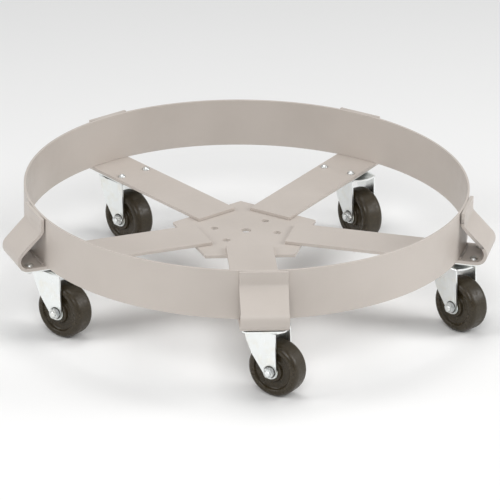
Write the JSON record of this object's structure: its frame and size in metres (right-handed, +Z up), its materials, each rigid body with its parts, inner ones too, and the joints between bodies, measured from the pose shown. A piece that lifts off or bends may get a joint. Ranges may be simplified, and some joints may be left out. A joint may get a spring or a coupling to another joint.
{
  "type": "drum dolly",
  "caption": "Round steel drum dolly: a collar ring on a flat-bar star frame with hooked brackets, rolling on swivel casters with hard wheels.",
  "frame": {"origin": "on the collar ring's axis, in the plane of the arms' top faces, where the drum's base rests", "axes": "+Z up along the ring's axis; arm 1 runs along -X; arms and casters are numbered anticlockwise from above"},
  "size_m": [0.654, 0.6782, 0.1796],
  "materials": {
    "frame_paint": "satin warm grey baked enamel",
    "zinc_plate": "bright blue-white zinc plating",
    "bright_steel": "plain steel",
    "wheel_compound": "dark brown moulded phenolic compound, satin",
    "bushing": "sintered bronze"
  },
  "bodies": {
    "frame": {"collar_ring": "frame_paint", "hub_plate": "frame_paint", "hub_welds": "frame_paint", "rim_welds": "frame_paint", "caster_rivets": "zinc_plate", "kingpin_washers": "zinc_plate", "arm_1": "frame_paint", "arm_2": "frame_paint", "arm_3": "frame_paint", "arm_4": "frame_paint", "arm_5": "frame_paint", "caster_plate_1": "zinc_plate", "caster_plate_2": "zinc_plate", "caster_plate_3": "zinc_plate", "caster_plate_4": "zinc_plate", "caster_plate_5": "zinc_plate", "kingpin_1": "bright_steel", "kingpin_2": "bright_steel", "kingpin_3": "bright_steel", "kingpin_4": "bright_steel", "kingpin_5": "bright_steel"},
    "swivel_1": {"yoke_1": "zinc_plate", "race_balls_1": "bright_steel", "axle_bolt_1": "zinc_plate", "axle_nut_1": "zinc_plate", "axle_sleeve_1": "bright_steel"},
    "roller_1": {"wheel_1": "wheel_compound", "wheel_bushing_1": "bushing"},
    "swivel_2": {"yoke_2": "zinc_plate", "race_balls_2": "bright_steel", "axle_bolt_2": "zinc_plate", "axle_nut_2": "zinc_plate", "axle_sleeve_2": "bright_steel"},
    "roller_2": {"wheel_2": "wheel_compound", "wheel_bushing_2": "bushing"},
    "swivel_3": {"yoke_3": "zinc_plate", "race_balls_3": "bright_steel", "axle_bolt_3": "zinc_plate", "axle_nut_3": "zinc_plate", "axle_sleeve_3": "bright_steel"},
    "roller_3": {"wheel_3": "wheel_compound", "wheel_bushing_3": "bushing"},
    "swivel_4": {"yoke_4": "zinc_plate", "race_balls_4": "bright_steel", "axle_bolt_4": "zinc_plate", "axle_nut_4": "zinc_plate", "axle_sleeve_4": "bright_steel"},
    "roller_4": {"wheel_4": "wheel_compound", "wheel_bushing_4": "bushing"},
    "swivel_5": {"yoke_5": "zinc_plate", "race_balls_5": "bright_steel", "axle_bolt_5": "zinc_plate", "axle_nut_5": "zinc_plate", "axle_sleeve_5": "bright_steel"},
    "roller_5": {"wheel_5": "wheel_compound", "wheel_bushing_5": "bushing"}
  },
  "joints": [
    {"name": "swivel_1_turn", "type": "hinge", "parent": "frame", "child": "swivel_1", "pos_m": [-0.288, 0, -0.0113], "axis": [0, 0, 1], "continuous": true},
    {"name": "wheel_1_spin", "type": "hinge", "parent": "swivel_1", "child": "roller_1", "pos_m": [-0.275, -0.02252, -0.0715], "axis": [0.866, 0.5, 0], "continuous": true},
    {"name": "swivel_2_turn", "type": "hinge", "parent": "frame", "child": "swivel_2", "pos_m": [-0.089, -0.2739, -0.0113], "axis": [0, 0, 1], "continuous": true},
    {"name": "wheel_2_spin", "type": "hinge", "parent": "swivel_2", "child": "roller_2", "pos_m": [-0.07371, -0.29494, -0.0715], "axis": [0.809, 0.5878, 0], "continuous": true},
    {"name": "swivel_3_turn", "type": "hinge", "parent": "frame", "child": "swivel_3", "pos_m": [0.233, -0.16928, -0.0113], "axis": [0, 0, 1], "continuous": true},
    {"name": "wheel_3_spin", "type": "hinge", "parent": "swivel_3", "child": "roller_3", "pos_m": [0.24231, -0.19356, -0.0715], "axis": [0.9336, 0.3584, 0], "continuous": true},
    {"name": "swivel_4_turn", "type": "hinge", "parent": "frame", "child": "swivel_4", "pos_m": [0.233, 0.16928, -0.0113], "axis": [0, 0, 1], "continuous": true},
    {"name": "wheel_4_spin", "type": "hinge", "parent": "swivel_4", "child": "roller_4", "pos_m": [0.23796, 0.14376, -0.0715], "axis": [0.9816, 0.1908, 0], "continuous": true},
    {"name": "swivel_5_turn", "type": "hinge", "parent": "frame", "child": "swivel_5", "pos_m": [-0.089, 0.2739, -0.0113], "axis": [0, 0, 1], "continuous": true},
    {"name": "wheel_5_spin", "type": "hinge", "parent": "swivel_5", "child": "roller_5", "pos_m": [-0.07968, 0.24963, -0.0715], "axis": [0.9336, 0.3584, 0], "continuous": true}
  ]
}
